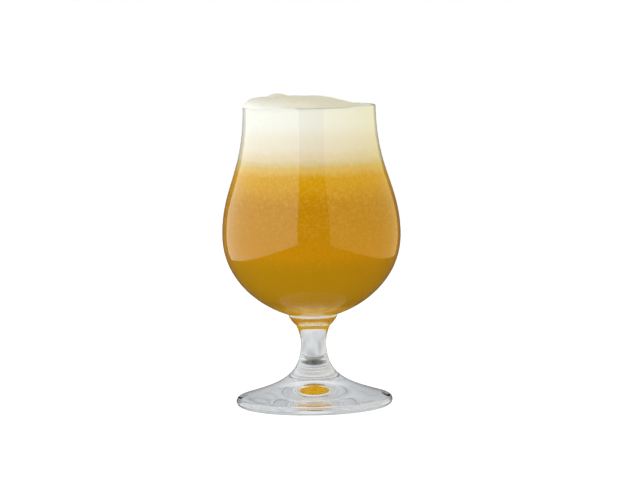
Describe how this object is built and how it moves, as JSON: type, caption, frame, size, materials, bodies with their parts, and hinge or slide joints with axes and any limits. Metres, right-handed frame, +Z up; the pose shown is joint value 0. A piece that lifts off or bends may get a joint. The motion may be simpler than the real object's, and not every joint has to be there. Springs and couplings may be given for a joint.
{
  "type": "glass of beer",
  "caption": "Stemmed tulip glass on a round foot, filled with hazy golden beer under a deep head of foam that domes over the lip.",
  "frame": {"origin": "on the table, at the middle of the foot", "axes": "+Z up along the glass's own axis; -Y towards the viewer; the foam swells over the lip on the -X side"},
  "size_m": [0.099, 0.099, 0.1738],
  "materials": {
    "glass": "clear, fire-polished",
    "beer": "hazy golden liquid",
    "foam": "fine soft foam"
  },
  "bodies": {
    "root": {"glass": "glass", "beer": "beer", "foam": "foam"}
  },
  "joints": []
}
